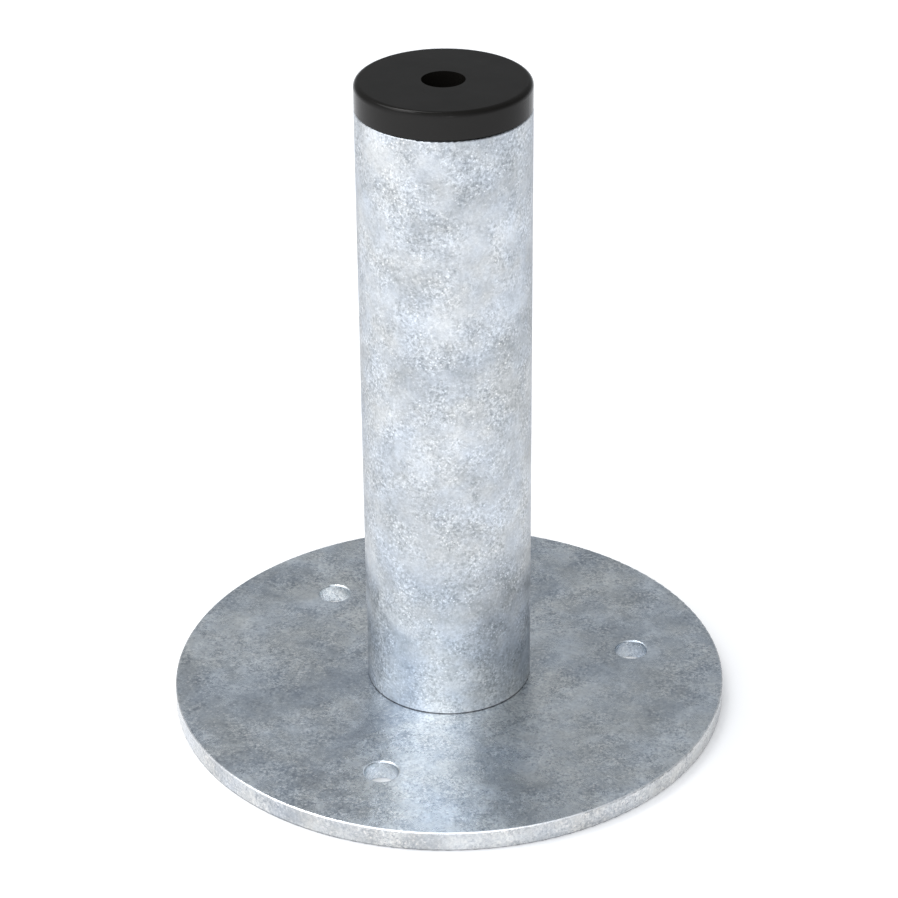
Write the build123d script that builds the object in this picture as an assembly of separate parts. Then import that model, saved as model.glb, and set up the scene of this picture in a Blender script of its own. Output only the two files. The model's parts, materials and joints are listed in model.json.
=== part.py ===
from build123d import *

import os
from math import cos, pi, radians, sin

# Surface-mounted retractable bollard, in millimetres, +Z up from the centre of the base plate's underside.
#
# A sleeve tube stands on a round base plate. A slimmer post slides up out of the sleeve until its head
# cap stands one travel higher. A bayonet key enters the hole in the cap and hooks the cross pin of a
# spindle. It lifts the post, and a quarter turn of the spindle's rod and cam drives two bolts into
# windows in rails inside the sleeve. The post is modelled all the way down, with both bolts withdrawn.

# Base plate
plate_diameter = 300.0
plate_thickness = 11.0
plate_edge_radius = 0.8
anchor_circle = 205.0
anchor_hole = 17.5
anchor_count = 3
anchor_first_angle = -90.0
anchor_edge_radius = 1.0
drain_hole = 30.0

# Sleeve tube, welded to the plate
sleeve_diameter = 88.9
sleeve_wall = 3.2
sleeve_height = 331.0
sleeve_rim_radius = 0.8
weld_bevel = 1.5
weld_recess = 0.2

# Sliding post and its head cap
sleeve_to_post = 6.25
post_wall = 3.0
travel = 200.0
cap_height = 14.2
cap_edge_radius = 3.0
cap_foot_radius = 0.4
cap_top_wall = 6.0
cap_skirt_wall = 4.5
cap_spigot_length = 26.0
cap_spigot_wall = 6.0
cap_boss_wall = 4.0
cap_rib = 3.0
cap_rib_count = 6
key_hole = 22.0
key_hole_length = 18.0
key_chamber_step = 2.0

# Guides, seals and stops inside the sleeve
bump_stop_height = 8.0
bump_stop_width = 15.0
bump_stop_chamfer = 1.0
cage_ring_height = 8.0
cage_post_gap = 1.5
rail_edge = 3.2
dowel_diameter = 3.0
dowel_length = 12.0
dowel_depth = 6.0
wiper_height = 4.0
wiper_width = 3.1
wiper_lip_height = 1.0
wiper_undercut = 1.2
clip_thickness = 2.5
clip_width = 4.4
clip_groove_depth = 1.5
clip_opening = 16.0
clip_lug_radius = 2.6
bush_depth = 6.0
guide_pad_height = 18.0
guide_pad_lift = 1.0

# Foot block and the lock in it
foot_cover_thickness = 4.0
foot_cover_hole = 8.0
foot_rim = 7.5
cam_thickness = 5.4
bolt_travel = 6.0
bolt_width = 13.6
bolt_height = 11.6
bolt_to_rod = 3.0
bolt_nose_chamfer = 0.8
bolt_pin_roof = 3.0
bolt_pin_diameter = 5.0
bolt_pin_radius = 15.0
bolt_pin_length = 13.0
cam_slot_clearance = 0.3
web_thickness = 5.5
foot_spigot_length = 20.0
foot_spigot_wall = 9.9
hub_height = 8.0
hub_wall = 4.0
foot_drain_hole = 5.0
foot_drain_distance = 18.5

# Spindle, rod and their bearings
key_turn = 90.0
rod_diameter = 12.0
rod_flat_depth = 1.5
rod_bush_wall = 2.0
bush_flange = 2.0
bush_flange_reach = 3.0
spindle_diameter = 20.0
spindle_collar = 30.0
spindle_collar_height = 4.0
spindle_socket_depth = 21.0
spindle_socket_roof = 4.0
stub_diameter = 12.0
stub_below_cap = 22.0
stub_chamfer = 1.5
cross_pin_diameter = 5.0
cross_pin_length = 19.2
cross_pin_below_stub = 10.0
coupling_pin_diameter = 4.0
head_plate_thickness = 8.0
head_plate_below_cap = 60.0
head_plate_drain = 5.0
head_plate_drain_distance = 23.0
head_weld_leg = 3.0
spindle_bush_wall = 3.0
washer_thickness = 1.5
washer_width = 6.0
spindle_clip_thickness = 1.2
spindle_clip_width = 3.4
spindle_clip_opening = 7.0
spindle_clip_lug_radius = 1.8
spindle_groove_depth = 0.7

# Screws
screw_diameter = 5.0
screw_head = 8.6
screw_head_height = 2.4
screw_clearance = 0.4
screw_socket = 3.2
screw_socket_depth = 1.6
screw_end_gap = 1.0
cap_screw_count = 3
cap_screw_first_angle = 90.0
cap_screw_length = 8.5
foot_screw_length = 15.0
cover_screw_diameter = 3.0
cover_screw_head_diameter = 5.8
cover_screw_head_height = 1.7
cover_screw_length = 10.0
cover_screw_socket = 2.0
cover_screw_socket_depth = 1.0
diagonals = (45.0, 135.0, 225.0, 315.0)

# Clearances
fit = 0.05
face = 0.1
slide = 0.15
gap = 0.3
loose = 0.5

# How far a cutting shape runs past what it cuts, and how deep two shapes of one piece run together
over = 1.0

# Radii and heights worked out from the sizes above
sleeve_r = sleeve_diameter / 2
bore_r = sleeve_r - sleeve_wall
post_r = bore_r - sleeve_to_post
post_bore_r = post_r - post_wall
rod_r = rod_diameter / 2
spindle_r = spindle_diameter / 2
cage_inner_r = post_r + cage_post_gap
cage_outer_r = bore_r - gap
pad_outer_r = bore_r - gap
plug_r = post_bore_r - slide
foot_r = post_r - loose
cam_recess_r = foot_r - foot_rim
cam_radius = cam_recess_r - loose
rod_across_flats = rod_diameter - 2 * rod_flat_depth
key_chamber = key_hole + 2 * key_chamber_step
rail_width = bolt_width + 2 * rail_edge

plate_top = plate_thickness
sleeve_top = plate_top + sleeve_height
cap_bottom = sleeve_top + gap
cap_top = cap_bottom + cap_height
cage_foot_top = plate_top + cage_ring_height

foot_bottom = plate_top + bump_stop_height + gap
block_bottom = foot_bottom + foot_cover_thickness
cam_bottom = block_bottom + gap
cam_top = cam_bottom + cam_thickness
channel_bottom = cam_top + gap
bolt_bottom = channel_bottom + face
bolt_top = bolt_bottom + bolt_height
channel_top = bolt_top + loose
post_bottom = channel_top + web_thickness
foot_top = post_bottom + foot_spigot_length
bolt_inner_end = rod_r + bolt_to_rod
bolt_outer_end = post_r - 2 * fit - bolt_width**2 / 8 / post_r

pad_bottom = post_bottom + guide_pad_lift
pad_top = pad_bottom + guide_pad_height
foot_screw_z = pad_bottom + guide_pad_height / 2
cage_head_bottom = pad_top + travel + loose
cage_head_top = cage_head_bottom + cage_ring_height
bush_bottom = cage_head_top + slide
bush_top = sleeve_top - bush_depth
clip_bottom = bush_top + face

cap_spigot_bottom = cap_bottom - cap_spigot_length
cap_screw_z = cap_bottom - cap_spigot_length / 2
cap_screw_top = post_r - slide - screw_head**2 / 8 / post_r
foot_screw_top = pad_outer_r - gap
head_plate_top = cap_top - head_plate_below_cap
head_plate_bottom = head_plate_top - head_plate_thickness
bush_flange_top = head_plate_top + bush_flange
collar_bottom = bush_flange_top + face
collar_top = collar_bottom + spindle_collar_height
stub_top = cap_top - stub_below_cap
cross_pin_z = stub_top - cross_pin_below_stub
washer_bottom = head_plate_bottom - face - washer_thickness
clip_groove_top = washer_bottom - face
spindle_groove_height = spindle_clip_thickness + 2 * face
socket_top = clip_groove_top - spindle_groove_height - spindle_socket_roof
spindle_bottom = socket_top - spindle_socket_depth
coupling_pin_z = (spindle_bottom + socket_top) / 2
rod_top = socket_top - loose
rod_bottom = block_bottom + face
hub_top = post_bottom + hub_height


def disc(radius, low, high):
    """A solid disc about the Z axis between two heights."""
    return Pos(0, 0, low) * Cylinder(radius, high - low, align=(Align.CENTER, Align.CENTER, Align.MIN))


def ring(inner, outer, low, high):
    """A plain ring about the Z axis between two heights."""
    return disc(outer, low, high) - disc(inner, low - over, high + over)


def bar(x_low, x_high, width, low, high):
    """A rectangular bar along X, centred on Y."""
    centre = Pos((x_low + x_high) / 2, 0, (low + high) / 2)
    return centre * Box(x_high - x_low, width, high - low)


def upright(radius, low, high, distance, angle):
    """A vertical peg at a distance and angle from the Z axis."""
    return Rot(0, 0, angle) * Pos(distance, 0, 0) * disc(radius, low, high)


def spoke(radius, inner, outer, height, angle):
    """A round peg along a radius of the Z axis, from one distance to another."""
    peg = Pos((inner + outer) / 2, 0, height) * Rot(0, 90, 0) * Cylinder(radius, outer - inner)
    return Rot(0, 0, angle) * peg


def cone_spoke(inner_radius, outer_radius, inner, outer, height, angle):
    """A tapered peg along a radius of the Z axis, as a countersink or its screw head."""
    cone = Cone(inner_radius, outer_radius, outer - inner)
    return Rot(0, 0, angle) * Pos((inner + outer) / 2, 0, height) * Rot(0, 90, 0) * cone


def turned(*points):
    """A solid of revolution about Z from (radius, height) points."""
    outline = Plane.XZ * make_face(Polyline(*points, close=True))
    return revolve(outline, Axis.Z)


def edges_at(shape, radius, height):
    """The full circles about Z of one radius at one height."""
    middle = Vector(0, 0, height)
    circles = shape.edges().filter_by(GeomType.CIRCLE)
    alike = [edge for edge in circles if abs(edge.radius - radius) < fit]
    return [edge for edge in alike if (edge.arc_center - middle).length < fit]


def anchor_angles():
    """The anchor holes' angles, evenly spaced."""
    return [anchor_first_angle + 360.0 / anchor_count * n for n in range(anchor_count)]


def dowel_places():
    """The two dowels' distance from the axis and their angles."""
    return (cage_inner_r + cage_outer_r) / 2, (90.0, 270.0)


def base_plate():
    """The round plate with its anchor holes, drain and dowel holes, its sharp edges broken."""
    plate = disc(plate_diameter / 2, 0, plate_top)
    for angle in anchor_angles():
        plate -= upright(anchor_hole / 2, -over, plate_top + over, anchor_circle / 2, angle)
    circles = plate.edges().filter_by(GeomType.CIRCLE)
    lips = [edge for edge in circles if abs(edge.radius - anchor_hole / 2) < fit]
    plate = fillet(lips, anchor_edge_radius)
    rims = edges_at(plate, plate_diameter / 2, 0) + edges_at(plate, plate_diameter / 2, plate_top)
    plate = fillet(rims, plate_edge_radius)
    plate -= disc(drain_hole / 2, -over, plate_top + over)
    dowel_hole_r = dowel_diameter / 2 + fit
    distance, angles = dowel_places()
    for angle in angles:
        plate -= upright(dowel_hole_r, plate_top - dowel_depth - fit, plate_top + over, distance, angle)
    return plate


def sleeve_tube():
    """The outer tube: bevelled at the foot for its weld, rounded at the rim, grooved inside for a clip."""
    tube = ring(bore_r, sleeve_r, plate_top, sleeve_top)
    tube = chamfer(edges_at(tube, sleeve_r, plate_top), weld_bevel)
    tube = fillet(edges_at(tube, sleeve_r, sleeve_top), sleeve_rim_radius)
    groove_r = bore_r + clip_groove_depth
    return tube - ring(bore_r - over, groove_r, clip_bottom - face, clip_bottom + clip_thickness + face)


def sleeve_weld():
    """The weld that fills the sleeve's bevel, dressed a little under flush."""
    face_r = sleeve_r - weld_recess
    rise = weld_bevel - weld_recess
    root_r = sleeve_r - weld_bevel
    return turned((root_r, plate_top), (face_r, plate_top), (face_r, plate_top + rise))


def bump_stop():
    """The rubber ring that the post's foot comes down on."""
    inner = drain_hole / 2 + gap
    outer = inner + bump_stop_width
    top = plate_top + bump_stop_height
    return chamfer(edges_at(ring(inner, outer, plate_top, top), outer, top), bump_stop_chamfer)


def cage_foot_ring():
    """The latch cage's lower ring, pinned to the base plate."""
    part = ring(cage_inner_r, cage_outer_r, plate_top, cage_foot_top)
    distance, angles = dowel_places()
    for angle in angles:
        part -= upright(dowel_diameter / 2 + fit, plate_top - over, cage_foot_top + over, distance, angle)
    return part


def cage_head_ring():
    """The latch cage's upper ring, which stops the raised post."""
    return ring(cage_inner_r, cage_outer_r, cage_head_bottom, cage_head_top)


def latch_rail(side):
    """One upright rail of the cage, with a window for its bolt at each end of the travel."""
    rail = ring(cage_inner_r, cage_outer_r, cage_foot_top, cage_head_bottom)
    rail &= bar(0, bore_r, rail_width, cage_foot_top, cage_head_bottom)
    for lift in (0.0, travel):
        low = bolt_bottom - loose + lift
        rail -= bar(0, bore_r, bolt_width + 2 * loose, low, low + bolt_height + 2 * loose)
    return Rot(0, 0, side) * rail


def cage_dowels():
    """The two pins that keep the cage from turning."""
    distance, angles = dowel_places()
    low = plate_top - dowel_depth
    pins = [upright(dowel_diameter / 2, low, low + dowel_length, distance, angle) for angle in angles]
    return Compound(children=pins)


def guide_bush():
    """The plastic bush in the sleeve's mouth that the post slides through, recessed for the wiper."""
    bush = ring(post_r + slide, bore_r - slide, bush_bottom, bush_top)
    return bush - disc(post_r + gap + wiper_width + fit, bush_top - wiper_height, bush_top + over)


def wiper_ring():
    """The rubber ring that keeps grit out of the bush."""
    inner = post_r + gap
    outer = inner + wiper_width
    low = bush_top - wiper_height
    lip = (inner, bush_top - wiper_lip_height)
    return turned((inner + wiper_undercut, low), (outer, low), (outer, bush_top), (inner, bush_top), lip)


def retaining_clip(inner, outer, low, high, opening, lug, middle):
    """A sprung C-shaped ring with a lug, drilled for pliers, at each end of its opening."""
    clip = ring(inner, outer, low, high) - bar(0, outer + over, opening, low - over, high + over)
    turn = 180 / pi * (opening / 2 + 0.7 * lug) / middle
    for angle in (-turn, turn):
        clip += upright(lug, low, high, middle, angle)
    for angle in (-turn, turn):
        clip -= upright(lug * 0.45, low - over, high + over, middle, angle)
    return clip


def bush_clip():
    """The internal clip that holds the bush and cage down in the sleeve."""
    outer = bore_r + clip_groove_depth - slide
    inner = outer - clip_width
    high = clip_bottom + clip_thickness
    clip = retaining_clip(inner, outer, clip_bottom, high, clip_opening, clip_lug_radius, inner)
    return Rot(0, 0, 90) * (clip & ring(post_r + gap, outer, clip_bottom, high))


def cap_screw_angles():
    """The angles of the screws that hold the cap in the post."""
    return [cap_screw_first_angle + 360.0 / cap_screw_count * n for n in range(cap_screw_count)]


def cap_screw_head(angle):
    """The tapered head of one cap screw, which is also the shape of its seat in the post."""
    under = cap_screw_top - screw_head_height
    return cone_spoke(screw_diameter / 2, screw_head / 2, under, cap_screw_top, cap_screw_z, angle)


def cover_screw_head(angle):
    """The tapered head of one foot cover screw, which is also the shape of its seat in the cover."""
    cone = Cone(cover_screw_head_diameter / 2, cover_screw_diameter / 2, cover_screw_head_height)
    centre = foot_bottom + slide + cover_screw_head_height / 2
    return Rot(0, 0, angle) * Pos(cover_screw_distance(), 0, centre) * cone


def post_tube():
    """The sliding inner tube, countersunk near its head and drilled near its foot."""
    tube = ring(post_bore_r, post_r, post_bottom, cap_bottom)
    hole_r = (screw_diameter + screw_clearance) / 2
    for angle in cap_screw_angles():
        tube -= spoke(hole_r, post_bore_r - over, post_r + over, cap_screw_z, angle)
        tube -= cap_screw_head(angle)
        tube -= spoke(screw_head / 2, cap_screw_top, post_r + over, cap_screw_z, angle)
    for angle in diagonals:
        tube -= spoke(hole_r, post_bore_r - over, post_r + over, foot_screw_z, angle)
    return tube


def head_cap():
    """The moulded cap: a flat head with a key hole, a skirt, ribs and a spigot that plugs the post."""
    skin = disc(sleeve_r, cap_bottom, cap_top)
    skin = fillet(edges_at(skin, sleeve_r, cap_top), cap_edge_radius)
    skin = fillet(edges_at(skin, sleeve_r, cap_bottom), cap_foot_radius)
    ceiling = cap_top - cap_top_wall
    cap = skin - disc(sleeve_r - cap_skirt_wall, cap_bottom - over, ceiling)
    spigot_inner = plug_r - cap_spigot_wall
    boss_r = key_chamber / 2 + cap_boss_wall
    cap += ring(spigot_inner, plug_r, cap_spigot_bottom, ceiling)
    cap += ring(plug_r - over, post_r + loose, cap_bottom, ceiling)
    cap += disc(boss_r, cap_spigot_bottom, ceiling)
    head_rib = bar(boss_r - over, sleeve_r - cap_skirt_wall + over, cap_rib, cap_bottom, ceiling)
    spigot_rib = bar(boss_r - over, spigot_inner + over, cap_rib, cap_spigot_bottom, cap_bottom + over)
    for n in range(cap_rib_count):
        cap += Rot(0, 0, 360.0 / cap_rib_count * n) * (head_rib + spigot_rib)
    cap -= disc(key_hole / 2, cap_top - key_hole_length - over, cap_top + over)
    cap -= disc(key_chamber / 2, cap_spigot_bottom - over, cap_top - key_hole_length)
    for angle in cap_screw_angles():
        cap -= spoke(screw_diameter / 2 + fit, spigot_inner - over, plug_r + over, cap_screw_z, angle)
    return cap


def cap_screws():
    """The countersunk screws that hold the cap's spigot in the post."""
    screws = []
    top = cap_screw_top
    under = top - screw_head_height
    for angle in cap_screw_angles():
        screw = cap_screw_head(angle)
        screw += spoke(screw_diameter / 2, top - cap_screw_length, under + fit, cap_screw_z, angle)
        screw -= spoke(screw_socket / 2, top - screw_socket_depth, top + over, cap_screw_z, angle)
        screws.append(screw)
    return Compound(children=screws)


def head_plate():
    """The steel disc across the post that carries the spindle."""
    plate = disc(post_bore_r - fit, head_plate_bottom, head_plate_top)
    low = head_plate_bottom - over
    high = head_plate_top + over
    plate -= disc(spindle_r + fit + spindle_bush_wall + fit / 2, low, high)
    for angle in diagonals:
        plate -= upright(head_plate_drain / 2, low, high, head_plate_drain_distance, angle)
    return plate


def head_plate_weld():
    """The fillet weld between the head plate and the post."""
    outer = post_bore_r - fit
    inner = outer - head_weld_leg
    return turned((outer, head_plate_top), (outer, head_plate_top + head_weld_leg), (inner, head_plate_top))


def spindle_bush():
    """The flanged bronze bush in the head plate."""
    inner = spindle_r + fit
    outer = inner + spindle_bush_wall
    body = ring(inner, outer, head_plate_bottom, head_plate_top)
    return body + ring(inner, outer + bush_flange_reach, head_plate_top, bush_flange_top)


def foot_block():
    """The steel block at the post's foot: cam recess, bolt channel, rod bearing and spigot."""
    block = disc(foot_r, block_bottom, post_bottom)
    spigot_r = post_bore_r - slide
    block += ring(spigot_r - foot_spigot_wall, spigot_r, post_bottom - over, foot_top)
    bush_r = rod_r + fit + rod_bush_wall
    block += disc(bush_r + hub_wall, post_bottom - over, hub_top)
    block -= disc(cam_recess_r, block_bottom - over, channel_bottom)
    block -= bar(-post_r, post_r, bolt_width + 2 * slide, channel_bottom - over, channel_top)
    block -= disc(rod_r + loose, channel_bottom - over, channel_top)
    block -= disc(bush_r + fit / 2, channel_top, hub_top + over)
    thread_r = screw_diameter / 2 + fit
    cover_thread_r = cover_screw_diameter / 2 + fit
    cover_thread_top = foot_bottom + cover_screw_length + screw_end_gap
    distance = cover_screw_distance()
    for angle in diagonals:
        block -= spoke(thread_r, spigot_r - foot_spigot_wall - over, spigot_r + over, foot_screw_z, angle)
        block -= upright(cover_thread_r, block_bottom - over, cover_thread_top, distance, angle)
    return block


def cover_screw_distance():
    """Half-way across the block's rim, outside the cam recess."""
    return (cam_recess_r + foot_r) / 2


def foot_cover():
    """The plate that closes the cam recess from below, with drain holes."""
    low = foot_bottom - over
    high = block_bottom + over
    cover = ring(foot_cover_hole / 2, foot_r, foot_bottom, block_bottom)
    hole_r = (cover_screw_diameter + screw_clearance) / 2
    distance = cover_screw_distance()
    for angle in diagonals:
        cover -= upright(hole_r, low, high, distance, angle)
        cover -= cover_screw_head(angle)
        cover -= upright(cover_screw_head_diameter / 2, low, foot_bottom + slide, distance, angle)
        cover -= upright(foot_drain_hole / 2, low, high, foot_drain_distance, angle + 45)
    return cover


def cover_screws():
    """The countersunk screws that hold the foot cover."""
    screws = []
    shank_r = cover_screw_diameter / 2
    shank_bottom = foot_bottom + slide + cover_screw_head_height - fit
    socket_top_z = foot_bottom + slide + cover_screw_socket_depth
    distance = cover_screw_distance()
    for angle in diagonals:
        screw = cover_screw_head(angle)
        screw += upright(shank_r, shank_bottom, foot_bottom + cover_screw_length, distance, angle)
        screw -= upright(cover_screw_socket / 2, foot_bottom - over, socket_top_z, distance, angle)
        screws.append(screw)
    return Compound(children=screws)


def guide_pads():
    """The two plastic half-rings on the post's foot, parted where the rails run."""
    pads = ring(post_r + face, pad_outer_r, pad_bottom, pad_top)
    pads -= bar(-sleeve_r, sleeve_r, rail_width + 2 * loose, pad_bottom - over, pad_top + over)
    hole_r = (screw_diameter + screw_clearance) / 2
    seat = foot_screw_top - screw_head_height
    for angle in diagonals:
        pads -= spoke(hole_r, post_r - over, pad_outer_r + over, foot_screw_z, angle)
        pads -= spoke(screw_head / 2 + gap, seat, pad_outer_r + over, foot_screw_z, angle)
    return Compound(children=pads.solids())


def foot_screws():
    """The screws that hold the pads and the post to the foot block."""
    screws = []
    top = foot_screw_top
    under = top - screw_head_height
    for angle in diagonals:
        screw = spoke(screw_head / 2, under, top, foot_screw_z, angle)
        screw += spoke(screw_diameter / 2, top - foot_screw_length, under + fit, foot_screw_z, angle)
        screw -= spoke(screw_socket / 2, top - screw_socket_depth, top + over, foot_screw_z, angle)
        screws.append(screw)
    return Compound(children=screws)


def rod_bush():
    """The flanged plastic bush that steadies the rod in the foot block."""
    inner = rod_r + fit
    outer = inner + rod_bush_wall
    body = ring(inner, outer, channel_top, hub_top)
    return body + ring(inner, outer + bush_flange_reach, hub_top, hub_top + bush_flange)


def key_spindle():
    """The spindle: a stub for the key, a collar, a journal with a clip groove and a socket for the rod."""
    spindle = disc(spindle_r, spindle_bottom, collar_bottom + over)
    spindle += disc(spindle_collar / 2, collar_bottom, collar_top)
    stub = disc(stub_diameter / 2, collar_top - over, stub_top)
    spindle += chamfer(edges_at(stub, stub_diameter / 2, stub_top), stub_chamfer)
    groove_low = clip_groove_top - spindle_groove_height
    spindle -= ring(spindle_r - spindle_groove_depth, spindle_r + over, groove_low, clip_groove_top)
    spindle -= disc(rod_r + fit, spindle_bottom - over, socket_top)
    reach = spindle_r + over
    spindle -= spoke(coupling_pin_diameter / 2 + fit, -reach, reach, coupling_pin_z, 90)
    return spindle - spoke(cross_pin_diameter / 2 + fit, -reach, reach, cross_pin_z, 0)


def key_cross_pin():
    """The pin across the stub that the bayonet key hooks under."""
    return spoke(cross_pin_diameter / 2, -cross_pin_length / 2, cross_pin_length / 2, cross_pin_z, 0)


def thrust_washer():
    """The washer between the head plate and the spindle's clip."""
    inner = spindle_r + face
    return ring(inner, inner + washer_width, washer_bottom, washer_bottom + washer_thickness)


def spindle_clip():
    """The external clip under the thrust washer, which takes the pull of the key."""
    inner = spindle_r - spindle_groove_depth + fit
    outer = inner + spindle_clip_width
    high = clip_groove_top - face
    low = high - spindle_clip_thickness
    return retaining_clip(inner, outer, low, high, spindle_clip_opening, spindle_clip_lug_radius, outer)


def lock_rod():
    """The rod from the spindle down to the cam, with two flats at its foot and a pin hole at its head."""
    rod = disc(rod_r, rod_bottom, rod_top)
    for side in (-1, 1):
        flat = bar(-rod_r, rod_r, rod_r, rod_bottom - over, cam_top + slide)
        rod -= Pos(0, side * (rod_across_flats + rod_r) / 2, 0) * flat
    reach = rod_r + over
    return rod - spoke(coupling_pin_diameter / 2 + fit, -reach, reach, coupling_pin_z, 90)


def coupling_pin():
    """The pin that joins the rod to the spindle."""
    reach = spindle_r - gap
    return spoke(coupling_pin_diameter / 2, -reach, reach, coupling_pin_z, 90)


def spiral_slot(start):
    """The face of one cam slot: a round-ended band whose radius grows evenly with the key's turn."""
    half_width = bolt_pin_diameter / 2 + cam_slot_clearance
    steps = 12
    inner, outer, ends = [], [], []
    for n in range(steps + 1):
        angle = radians(start - key_turn * n / steps)
        r = bolt_pin_radius + bolt_travel * n / steps
        outward = Vector(cos(angle), sin(angle))
        centre = outward * r
        growth = -bolt_travel / radians(key_turn)
        along = outward * growth + Vector(-outward.Y, outward.X) * r
        across = Vector(-along.Y, along.X).normalized() * half_width
        inner.append(centre + across)
        outer.append(centre - across)
        if n in (0, steps):
            ends.append(Pos(centre.X, centre.Y) * Circle(half_width))
    sides = [Spline(*inner), Spline(*outer), Line(inner[0], outer[0]), Line(inner[-1], outer[-1])]
    return make_face(sides) + ends


def cam_plate():
    """The disc on the rod's foot whose two spiral slots drive the bolts in and out."""
    low = cam_bottom - over
    cam = disc(cam_radius, cam_bottom, cam_top)
    hole = disc(rod_r + fit, low, cam_top + over)
    cam -= hole & bar(-spindle_r, spindle_r, rod_across_flats + 2 * fit, low, cam_top + over)
    for start in (0.0, 180.0):
        cam -= Pos(0, 0, low) * extrude(spiral_slot(start), cam_thickness + 2 * over, dir=(0, 0, 1))
    return cam


def latch_bolt(side):
    """One sliding bolt, withdrawn inside the foot block, with a hole for its pin."""
    bolt = bar(bolt_inner_end, bolt_outer_end, bolt_width, bolt_bottom, bolt_top)
    nose = bolt.faces().sort_by(Axis.X)[-1].edges()
    bolt = chamfer(nose, bolt_nose_chamfer)
    bolt -= upright(bolt_pin_diameter / 2 + fit, cam_bottom, bolt_top - bolt_pin_roof, bolt_pin_radius, 0)
    return Rot(0, 0, side) * bolt


def latch_pin(side):
    """The pin that hangs from a bolt into the cam's slot."""
    low = cam_bottom + gap
    return Rot(0, 0, side) * upright(bolt_pin_diameter / 2, low, low + bolt_pin_length, bolt_pin_radius, 0)


PARTS = {
    "base_plate": base_plate,
    "sleeve_tube": sleeve_tube,
    "sleeve_weld": sleeve_weld,
    "bump_stop": bump_stop,
    "cage_foot_ring": cage_foot_ring,
    "cage_head_ring": cage_head_ring,
    "latch_rail_right": lambda: latch_rail(0),
    "latch_rail_left": lambda: latch_rail(180),
    "cage_dowels": cage_dowels,
    "guide_bush": guide_bush,
    "wiper_ring": wiper_ring,
    "bush_clip": bush_clip,
    "post_tube": post_tube,
    "head_cap": head_cap,
    "cap_screws": cap_screws,
    "head_plate": head_plate,
    "head_plate_weld": head_plate_weld,
    "spindle_bush": spindle_bush,
    "foot_block": foot_block,
    "foot_cover": foot_cover,
    "cover_screws": cover_screws,
    "guide_pads": guide_pads,
    "foot_screws": foot_screws,
    "rod_bush": rod_bush,
    "key_spindle": key_spindle,
    "key_cross_pin": key_cross_pin,
    "thrust_washer": thrust_washer,
    "spindle_clip": spindle_clip,
    "lock_rod": lock_rod,
    "coupling_pin": coupling_pin,
    "cam_plate": cam_plate,
    "latch_bolt_right": lambda: latch_bolt(0),
    "latch_bolt_left": lambda: latch_bolt(180),
    "latch_pin_right": lambda: latch_pin(0),
    "latch_pin_left": lambda: latch_pin(180),
}

os.makedirs("parts", exist_ok=True)
for name, make in PARTS.items():
    export_step(make(), f"parts/{name}.step")
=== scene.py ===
"""Looks of the retractable bollard: camera, studio and every material, on the CAD parts' own shapes."""

import json
from math import cos, radians, sin

import bpy
from mathutils import Matrix, Vector


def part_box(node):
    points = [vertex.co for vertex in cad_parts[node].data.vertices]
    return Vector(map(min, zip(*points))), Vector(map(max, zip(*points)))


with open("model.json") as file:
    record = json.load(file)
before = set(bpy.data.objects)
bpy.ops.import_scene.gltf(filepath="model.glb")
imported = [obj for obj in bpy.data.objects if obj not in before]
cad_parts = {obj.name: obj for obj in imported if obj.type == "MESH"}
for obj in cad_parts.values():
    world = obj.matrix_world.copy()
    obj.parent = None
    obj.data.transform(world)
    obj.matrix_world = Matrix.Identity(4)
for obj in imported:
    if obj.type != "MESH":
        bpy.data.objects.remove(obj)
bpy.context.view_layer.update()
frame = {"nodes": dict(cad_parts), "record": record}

WHITE = (1.0, 1.0, 1.0)
EVEN = (1.0, 1.0, 1.0)

# Camera, in metres, degrees and lens millimetres, turned round the bollard's axis from a view along +Y
CAMERA_TURN = 20.3
CAMERA_PLACE = (0.0011, -1.2816, 0.8618)
CAMERA_DOWN = 29.08
CAMERA_ROLL = -0.534
CAMERA_LENS = 111.7
CAMERA_SENSOR = 36.0
CAMERA_REACH = 50.0

# Studio, in metres
FLOOR_SIZE = 40.0
FLOOR_DROP = 0.0001
FLOOR_CLOUD = 0.4
FLOOR_TONES = ((0.80, 0.80, 0.80), (0.82, 0.82, 0.82))
FLOOR_GLOW = 0.22
LIGHT_DISTANCE = 3.0
LEFT_DISTANCE = 1.7

# Room: (height of the direction, brightness) from the horizon up, and a broad glow left of the camera
ROOM_STOPS = ((0.0, 0.75), (0.08, 0.52), (0.30, 0.36), (0.45, 0.37), (0.60, 0.42), (1.0, 0.45))
ROOM_TINT = (0.955, 0.99, 1.03)
GLOW_TURN = -40.0
GLOW_HEIGHT = 28.0
GLOW_FOCUS = 1.6
GLOW_COLOUR = (1.9, 1.95, 2.05)

# The one node whose looks aren't its slot's: the weld, whose material has a painted shade line at its foot
SPECIAL = {"sleeve_weld": "weld_with_painted_shade"}

# Zinc: widths of its features and depths of its relief, in metres
ZINC_CLOUD = 0.050
ZINC_WARM = 0.035
ZINC_RUN = 0.03
ZINC_ROUGH = 0.020
ZINC_PATCH = 0.016
ZINC_FIBRE = 0.0055
ZINC_PIT = 0.0031
ZINC_FLECK = 0.0024
ZINC_GRAIN = 0.0017
RUN_DEPTH = 0.0006
PATCH_DEPTH = 0.00030
GRAIN_DEPTH = 0.00010
ZINC_TINTS = ((0.96, 0.995, 1.05), (1.0, 0.995, 0.985))

# The tube and the seam at its foot share one zinc
TUBE_ZINC = {"light": (0.84, 0.86, 0.875), "dark": (0.33, 0.35, 0.365), "shine": 0.27, "edge": 0.68}
# Painted shade: the tone of the dark line at the weld's foot, standing in for the shade in the crevice
SEAM_PAINTED_SHADE = (0.12, 0.12, 0.13)

# The plate's cut rim: its duller tone, the painted contact shadow along its foot, and how much painted
# highlight whitens its top edge
RIM_TONE = (0.83, 0.79, 0.755)
RIM_PAINTED_SHADOW = (0.30, 0.31, 0.33)
RIM_PAINTED_HIGHLIGHT = 0.55

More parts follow.
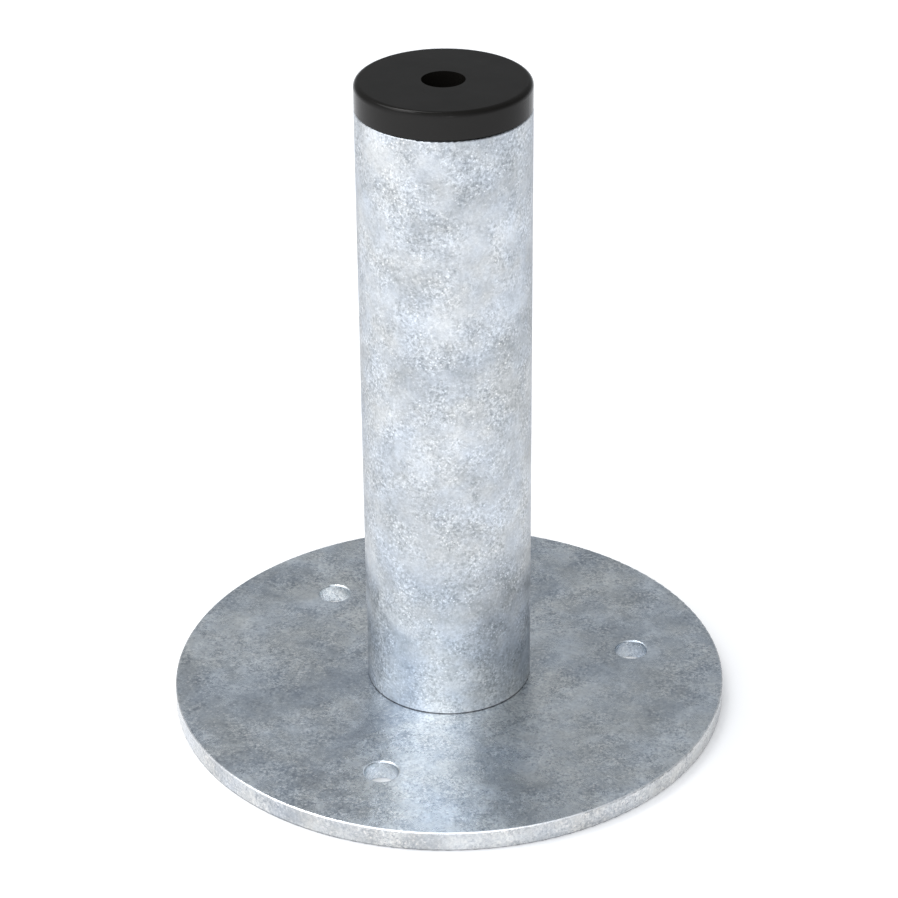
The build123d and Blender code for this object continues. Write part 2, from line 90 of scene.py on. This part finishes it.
# Moulded plastic: widths and depths in metres, and how much lighter a handled place is
PLASTIC_CLOUD = 0.02
PLASTIC_MARK = 0.0016
PLASTIC_GRAIN = 0.0005
SWELL_DEPTH = 0.0001
MOULD_DEPTH = 0.000012
WALL_FADE = 0.001
WORN_GAIN = 1.5
WORN_LIFT = 0.004

# Machined metal, in metres
METAL_STAIN = 0.012
METAL_NICK = 0.004
NICK_DEPTH = 0.00004
RING_DEPTH = 0.00003

# Rubber, in metres, and how much its bloom lightens it
RUBBER_BLOOM = 0.01
RUBBER_SKIN = 0.0007
SKIN_DEPTH = 0.00003
BLOOM_LIFT = 0.045


def make_camera():
    """The camera at the photograph's place, height and lens."""
    data = bpy.data.cameras.new("camera")
    data.lens = CAMERA_LENS
    data.sensor_width = CAMERA_SENSOR
    data.clip_end = CAMERA_REACH
    camera = bpy.data.objects.new("camera", data)
    bpy.context.scene.collection.objects.link(camera)
    turn = Matrix.Rotation(radians(CAMERA_TURN), 4, "Z")
    tilt = Matrix.Rotation(radians(90.0 - CAMERA_DOWN), 4, "X")
    roll = Matrix.Rotation(radians(CAMERA_ROLL), 4, "Z")
    camera.matrix_world = turn @ Matrix.Translation(CAMERA_PLACE) @ tilt @ roll
    bpy.context.scene.camera = camera


class Graph:
    """One node tree, with a short call for each kind of node that the materials use."""

    def __init__(self, tree):
        self.nodes = tree.nodes
        self.links = tree.links

    def add(self, kind, inputs=(), **settings):
        """A node with its settings made and its named inputs set or linked."""
        node = self.nodes.new(kind)
        for key, value in settings.items():
            setattr(node, key, value)
        for key, value in dict(inputs).items():
            self.feed(node.inputs[key], value)
        return node

    def feed(self, socket, value):
        """Sets a socket, or links it when the value is another node's output."""
        if isinstance(value, bpy.types.NodeSocket):
            self.links.new(value, socket)
        else:
            socket.default_value = value

    def place(self, stretch=EVEN):
        """Points on the part, in metres, which move with it."""
        if not hasattr(self, "coordinate"):
            self.coordinate = self.add("ShaderNodeTexCoord").outputs["Object"]
        if stretch == EVEN:
            return self.coordinate
        return self.add("ShaderNodeMapping", {"Vector": self.coordinate, "Scale": stretch}).outputs["Vector"]

    def from_axis(self):
        """Distance from the bollard's axis, in metres."""
        node = self.add("ShaderNodeVectorMath", operation="LENGTH")
        self.feed(node.inputs[0], self.place((1.0, 1.0, 0.0)))
        return node.outputs["Value"]

    def height(self):
        """Height above the ground, in metres, at rest."""
        return self.add("ShaderNodeSeparateXYZ", {"Vector": self.place()}).outputs["Z"]

    def noise(self, size, detail=3.0, roughness=0.55, distortion=0.0, stretch=EVEN):
        """Clouds from 0 to 1 with features about size metres wide."""
        inputs = {
            "Vector": self.place(stretch),
            "Scale": 1.0 / size,
            "Detail": detail,
            "Roughness": roughness,
            "Distortion": distortion,
        }
        return self.add("ShaderNodeTexNoise", inputs).outputs["Fac"]

    def ridges(self, size):
        """Sharp crooked lines from 0 to about 1, about size metres apart."""
        inputs = {"Vector": self.place(), "Scale": 1.0 / size, "Detail": 5.0, "Roughness": 0.62}
        node = self.add("ShaderNodeTexNoise", inputs, noise_type="RIDGED_MULTIFRACTAL", normalize=True)
        return node.outputs["Fac"]

    def cells(self, size):
        """Distance to the nearest cell's centre, in cells about size metres wide."""
        inputs = {"Vector": self.place(), "Scale": 1.0 / size}
        return self.add("ShaderNodeTexVoronoi", inputs, feature="F1").outputs["Distance"]

    def spread(self, value, low, high, to_low=0.0, to_high=1.0):
        """Maps the values from low to high onto a new range, clamped at both of its ends."""
        inputs = {"Value": value, "From Min": low, "From Max": high, "To Min": to_low, "To Max": to_high}
        return self.add("ShaderNodeMapRange", inputs).outputs["Result"]

    def maths(self, operation, first, second=0.0):
        """One operation on one or two values."""
        node = self.add("ShaderNodeMath", operation=operation)
        self.feed(node.inputs[0], first)
        self.feed(node.inputs[1], second)
        return node.outputs["Value"]

    def total(self, *parts):
        """The weighted sum of (value, weight) pairs."""
        result = 0.0
        for value, weight in parts:
            node = self.add("ShaderNodeMath", operation="MULTIPLY_ADD")
            self.feed(node.inputs[0], value)
            self.feed(node.inputs[1], weight)
            self.feed(node.inputs[2], result)
            result = node.outputs["Value"]
        return result

    def blend(self, share, first, second):
        """A colour between two, by a share from 0 to 1."""
        node = self.add("ShaderNodeMix", data_type="RGBA")
        self.feed(node.inputs["Factor"], share)
        for socket, colour in ((node.inputs[6], first), (node.inputs[7], second)):
            self.feed(socket, colour if isinstance(colour, bpy.types.NodeSocket) else (*colour, 1.0))
        return node.outputs[2]

    def multiply(self, first, second):
        """Two colours multiplied."""
        node = self.add("ShaderNodeMix", {"Factor": 1.0}, data_type="RGBA", blend_type="MULTIPLY")
        self.feed(node.inputs[6], first)
        self.feed(node.inputs[7], second)
        return node.outputs[2]

    def bump(self, height, depth, normal=None):
        """A normal that follows a height from 0 to 1, depth metres deep."""
        node = self.add("ShaderNodeBump", {"Height": height, "Distance": depth, "Strength": 1.0})
        if normal is not None:
            self.feed(node.inputs["Normal"], normal)
        return node.outputs["Normal"]


def new_material(name, metallic=0.0, specular=0.5):
    """A material with its graph and its shader, ready for colour, roughness and normal."""
    material = bpy.data.materials.new(name)
    material.use_nodes = True
    graph = Graph(material.node_tree)
    shader = graph.nodes["Principled BSDF"]
    shader.inputs["Metallic"].default_value = metallic
    shader.inputs["Specular IOR Level"].default_value = specular
    return material, graph, shader


def rim_tone_and_painted_light(graph, colour):
    """The plate's cut rim: duller than the rolled faces, with a painted highlight along its top edge and a
    painted contact shadow along its foot.
    """
    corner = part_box("base_plate")[1]
    radius, top = corner[0], corner[2]
    distance = graph.from_axis()
    height = graph.height()
    rim = graph.spread(distance, radius - 0.0006, radius - 0.0002)
    colour = graph.multiply(colour, graph.blend(rim, WHITE, RIM_TONE))
    outer = graph.spread(distance, radius - 0.0010, radius - 0.0007)
    # Painted highlight: a thin band along the rim's top edge is whitened to stand in for the light caught
    # there
    painted_highlight = graph.maths("MULTIPLY", outer, graph.spread(height, top - 0.0007, top - 0.0004))
    colour = graph.blend(graph.maths("MULTIPLY", painted_highlight, RIM_PAINTED_HIGHLIGHT), colour, WHITE)
    # Painted contact shadow: the rim is darkened just above the ground, where the plate meets the floor
    painted_shadow = graph.maths("MULTIPLY", outer, graph.spread(height, 0.0010, 0.0005))
    return graph.multiply(colour, graph.blend(painted_shadow, WHITE, RIM_PAINTED_SHADOW))


def painted_seam_shade(graph, colour):
    """Painted shade: a thin dark line where the tube's weld meets the plate, standing in for the shade in
    that crevice.
    """
    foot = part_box("sleeve_weld")[0][2]
    # Painted shade: the lowest part of the weld is darkened
    line = graph.spread(graph.height(), foot + 0.0007, foot + 0.0003)
    return graph.multiply(colour, graph.blend(line, WHITE, SEAM_PAINTED_SHADE))


def zinc_colour(graph, light, dark, fleck, clouds, patches, grain):
    """Zinc's colour: clouds, cottony crystals and grain, then pits, bright flecks and warm and cold tints."""
    rough_patch = graph.spread(graph.noise(ZINC_ROUGH, detail=4.0, roughness=0.65), 0.42, 0.58, 0.35, 1.0)
    fibres = graph.spread(graph.ridges(ZINC_FIBRE), 0.45, 0.95)
    cotton = graph.maths("MULTIPLY", fibres, graph.spread(patches, 0.48, 0.62))
    tone = graph.total(
        (graph.spread(clouds, 0.25, 0.75), 0.5),
        (graph.spread(patches, 0.25, 0.75), 0.5),
        (cotton, 0.35),
        (graph.maths("MULTIPLY", graph.spread(grain, 0.3, 0.7, -1.0, 1.0), rough_patch), 0.5),
    )
    colour = graph.blend(graph.spread(tone, 0.05, 1.05), dark, light)
    pits = graph.maths("MULTIPLY", graph.spread(graph.cells(ZINC_PIT), 0.22, 0.10), rough_patch)
    colour = graph.blend(graph.maths("MULTIPLY", pits, 0.45), colour, dark)
    spots = graph.maths("MULTIPLY", graph.spread(graph.cells(ZINC_FLECK), fleck, 0.10), rough_patch)
    colour = graph.blend(graph.maths("MULTIPLY", spots, 0.8), colour, WHITE)
    warm = graph.noise(ZINC_WARM, detail=4.0, roughness=0.7)
    return graph.multiply(colour, graph.blend(graph.spread(warm, 0.38, 0.62), *ZINC_TINTS))


def galvanised(name, light, dark, shine, edge=1.0, fleck=0.26, extra_tone_and_painted_light=None):
    """Hot-dip zinc: soft clouds, smooth and grainy patches, cottony crystals, bright flecks and fine pits."""
    material, graph, shader = new_material(name, metallic=1.0)
    shader.inputs["Specular Tint"].default_value = (edge, edge, edge, 1.0)
    clouds = graph.noise(ZINC_CLOUD, detail=3.0, roughness=0.55)
    patches = graph.noise(ZINC_PATCH, detail=4.0, roughness=0.6, distortion=0.6)
    grain = graph.noise(ZINC_GRAIN, detail=2.0, roughness=0.75, distortion=0.5)
    colour = zinc_colour(graph, light, dark, fleck, clouds, patches, grain)
    # The optional hook adds extra tone and painted light, such as the plate rim's painted highlight and
    # shadow or the weld's painted shade line
    graph.feed(shader.inputs["Base Color"], extra_tone_and_painted_light(graph, colour) if extra_tone_and_painted_light else colour)
    uneven = graph.total(
        (graph.spread(patches, 0.3, 0.7), 0.10),
        (grain, 0.10),
        (graph.spread(clouds, 0.3, 0.7), 0.06),
    )
    graph.feed(shader.inputs["Roughness"], graph.maths("ADD", uneven, shine))
    runs = graph.bump(graph.noise(ZINC_RUN, detail=2.0, roughness=0.5), RUN_DEPTH)
    dimples = graph.bump(patches, PATCH_DEPTH, runs)
    graph.feed(shader.inputs["Normal"], graph.bump(grain, GRAIN_DEPTH, dimples))
    return material


def outer_wall(graph, wall_from):
    """1 on upright faces at least wall_from metres from the axis, and 0 elsewhere."""
    normal = graph.add("ShaderNodeNewGeometry").outputs["Normal"]
    slope = graph.maths("ABSOLUTE", graph.add("ShaderNodeSeparateXYZ", {"Vector": normal}).outputs["Z"])
    outside = graph.spread(graph.from_axis(), wall_from - WALL_FADE, wall_from)
    return graph.maths("MULTIPLY", graph.spread(slope, 0.6, 0.1), outside)


def moulded_plastic(name, colour, rough, specular, painted_wall_light=None, wall_from=0.0):
    """Moulded plastic: a fine grain, faint handling marks, an uneven gloss, and optionally a painted light
    that makes the upright outer wall lighter than the top.
    """
    material, graph, shader = new_material(name, specular=specular)
    grain = graph.noise(PLASTIC_GRAIN, detail=2.0, roughness=0.6)
    clouds = graph.noise(PLASTIC_CLOUD, detail=4.0, roughness=0.6)
    marks = graph.noise(PLASTIC_MARK, detail=3.0, roughness=0.7, distortion=0.4, stretch=(0.15, 1.0, 1.0))
    worn = tuple(channel * WORN_GAIN + WORN_LIFT for channel in colour)
    share = graph.total((graph.spread(clouds, 0.35, 0.7), 0.35), (graph.spread(marks, 0.62, 0.75), 0.35))
    tone = graph.blend(share, colour, worn)
    # Painted light: the upright outer wall is given a lighter colour than the top faces
    if painted_wall_light is not None:
        tone = graph.blend(outer_wall(graph, wall_from), tone, painted_wall_light)
    graph.feed(shader.inputs["Base Color"], tone)
    uneven = graph.total((clouds, 0.12), (graph.spread(marks, 0.6, 0.75), 0.10))
    graph.feed(shader.inputs["Roughness"], graph.maths("ADD", uneven, rough))
    swell = graph.bump(clouds, SWELL_DEPTH)
    graph.feed(shader.inputs["Normal"], graph.bump(grain, MOULD_DEPTH, swell))
    return material


def turned_metal(name, light, dark, rough, ring_size):
    """Machined metal: fine tool rings up the axis, stains and small nicks."""
    material, graph, shader = new_material(name, metallic=1.0)
    rings = graph.noise(ring_size, detail=3.0, roughness=0.7, stretch=(0.02, 0.02, 1.0))
    stains = graph.noise(METAL_STAIN, detail=5.0, roughness=0.65, distortion=0.7)
    nicks = graph.spread(graph.cells(METAL_NICK), 0.12, 0.04)
    share = graph.total((graph.spread(stains, 0.35, 0.7), 0.65), (rings, 0.35))
    graph.feed(shader.inputs["Base Color"], graph.blend(share, dark, light))
    uneven = graph.total((stains, 0.18), (rings, 0.10))
    graph.feed(shader.inputs["Roughness"], graph.maths("ADD", uneven, rough))
    cut = graph.bump(rings, RING_DEPTH)
    graph.feed(shader.inputs["Normal"], graph.bump(nicks, NICK_DEPTH, cut))
    return material


def rubber(name, colour):
    """Dull rubber with a dusty bloom and a fine skin."""
    material, graph, shader = new_material(name, specular=0.3)
    bloom = graph.noise(RUBBER_BLOOM, detail=5.0, roughness=0.7, distortion=0.5)
    skin = graph.noise(RUBBER_SKIN, detail=3.0, roughness=0.6)
    dusty = tuple(channel + BLOOM_LIFT for channel in colour)
    graph.feed(shader.inputs["Base Color"], graph.blend(graph.spread(bloom, 0.4, 0.75), colour, dusty))
    graph.feed(shader.inputs["Roughness"], graph.spread(bloom, 0.3, 0.7, 0.6, 0.8))
    graph.feed(shader.inputs["Normal"], graph.bump(skin, SKIN_DEPTH))
    return material


def studio_floor():
    """A plain white floor with a faint glow of its own, so that it stays white under the part."""
    material, graph, shader = new_material("studio_floor", specular=0.0)
    graph.feed(shader.inputs["Base Color"], graph.blend(graph.noise(FLOOR_CLOUD), *FLOOR_TONES))
    shader.inputs["Roughness"].default_value = 1.0
    shader.inputs["Emission Color"].default_value = (*WHITE, 1.0)
    shader.inputs["Emission Strength"].default_value = FLOOR_GLOW
    mesh = bpy.data.meshes.new("floor")
    half = FLOOR_SIZE / 2
    corners = [(x * half, y * half, -FLOOR_DROP) for x, y in ((-1, -1), (1, -1), (1, 1), (-1, 1))]
    mesh.from_pydata(corners, [], [(0, 1, 2, 3)])
    mesh.materials.append(material)
    floor = bpy.data.objects.new("floor", mesh)
    bpy.context.scene.collection.objects.link(floor)


def studio_world():
    """A soft room: bright at the horizon, greyer above it, with one broad glow left of the camera."""
    world = bpy.data.worlds.new("studio")
    bpy.context.scene.world = world
    world.use_nodes = True
    graph = Graph(world.node_tree)
    direction = graph.add("ShaderNodeTexCoord").outputs["Generated"]
    height = graph.add("ShaderNodeSeparateXYZ", {"Vector": direction}).outputs["Z"]
    ramp = graph.add("ShaderNodeValToRGB", {"Fac": height})
    elements = ramp.color_ramp.elements
    while len(elements) < len(ROOM_STOPS):
        elements.new(0.5)
    for element, (place, level) in zip(elements, ROOM_STOPS):
        element.position = place
        element.color = (*(level * channel for channel in ROOM_TINT), 1.0)
    lobe = graph.add("ShaderNodeVectorMath", operation="DOT_PRODUCT")
    graph.feed(lobe.inputs[0], direction)
    graph.feed(lobe.inputs[1], towards(GLOW_TURN, GLOW_HEIGHT))
    share = graph.maths("POWER", graph.maths("MAXIMUM", lobe.outputs["Value"], 0.0), GLOW_FOCUS)
    sky = graph.blend(share, ramp.outputs["Color"], GLOW_COLOUR)
    graph.feed(graph.nodes["Background"].inputs["Color"], sky)


def towards(turn, height):
    """The direction at a turn from the camera's side and a height in degrees."""
    around = radians(CAMERA_TURN + turn - 90.0)
    up = radians(height)
    return Vector((cos(around) * cos(up), sin(around) * cos(up), sin(up)))


def softbox(name, turn, height, size, power, distance=LIGHT_DISTANCE):
    """A rectangular soft light, placed by its turn from the camera's side and its height in degrees."""
    data = bpy.data.lights.new(name, "AREA")
    data.shape = "RECTANGLE"
    data.size, data.size_y = size
    data.energy = power
    light = bpy.data.objects.new(name, data)
    bpy.context.scene.collection.objects.link(light)
    aim = towards(turn, height)
    light.location = aim * distance
    light.rotation_euler = aim.to_track_quat("Z", "Y").to_euler()


def studio_lights():
    """A strong light high up behind the part, a weak one near the camera and one high on the left."""
    softbox("overhead", -137.0, 68.0, (1.6, 0.6), 14.0)
    softbox("front", 8.0, 30.0, (0.6, 0.6), 3.0)
    softbox("left", -95.0, 64.0, (0.9, 0.7), 7.0, LEFT_DISTANCE)


def dress(materials):
    """Gives every CAD node its slot's material, or its own where SPECIAL names one."""
    slots = {entry["node"]: entry["material_slot"] for entry in frame["record"]["subparts"]}
    for name, piece in frame["nodes"].items():
        piece.data.materials.clear()
        piece.data.materials.append(materials[SPECIAL.get(name, slots[name])])


def make_materials():
    """One material for each of the record's slots, and one for the weld, with a painted shade line at its
    foot.
    """
    return {
        "galvanised_plate": galvanised(
            "galvanised_plate", (0.95, 0.99, 1.0), (0.40, 0.44, 0.485), 0.14, fleck=0.36, extra_tone_and_painted_light=rim_tone_and_painted_light
        ),
        "galvanised_tube": galvanised("galvanised_tube", **TUBE_ZINC),
        "weld_with_painted_shade": galvanised("weld_with_painted_shade", **TUBE_ZINC, extra_tone_and_painted_light=painted_seam_shade),
        "galvanised_post": galvanised("galvanised_post", (0.80, 0.81, 0.83), (0.38, 0.40, 0.42), 0.16),
        "cap_plastic": moulded_plastic(
            "cap_plastic",
            (0.0064, 0.0058, 0.0050),
            0.06,
            0.095,
            # Painted light: the cap's upright outer wall is coloured lighter than its top
            painted_wall_light=(0.0225, 0.0215, 0.0205),
            wall_from=0.040,
        ),
        "bearing_plastic": moulded_plastic("bearing_plastic", (0.05, 0.05, 0.055), 0.35, 0.4),
        "seal_rubber": rubber("seal_rubber", (0.018, 0.018, 0.018)),
        "bearing_bronze": turned_metal(
            "bearing_bronze", (0.72, 0.50, 0.25), (0.45, 0.29, 0.13), 0.20, 0.0006
        ),
        "zinc_plated_steel": turned_metal(
            "zinc_plated_steel", (0.66, 0.67, 0.70), (0.46, 0.47, 0.50), 0.22, 0.0011
        ),
        "machined_steel": turned_metal(
            "machined_steel", (0.50, 0.50, 0.51), (0.26, 0.26, 0.27), 0.18, 0.0005
        ),
        "spring_steel": turned_metal("spring_steel", (0.14, 0.14, 0.15), (0.06, 0.06, 0.065), 0.30, 0.0009),
        "stainless_fastener": turned_metal(
            "stainless_fastener", (0.74, 0.73, 0.71), (0.55, 0.54, 0.53), 0.14, 0.0004
        ),
    }


make_camera()
studio_floor()
studio_world()
studio_lights()
dress(make_materials())
bpy.context.scene.view_settings.view_transform = "Standard"
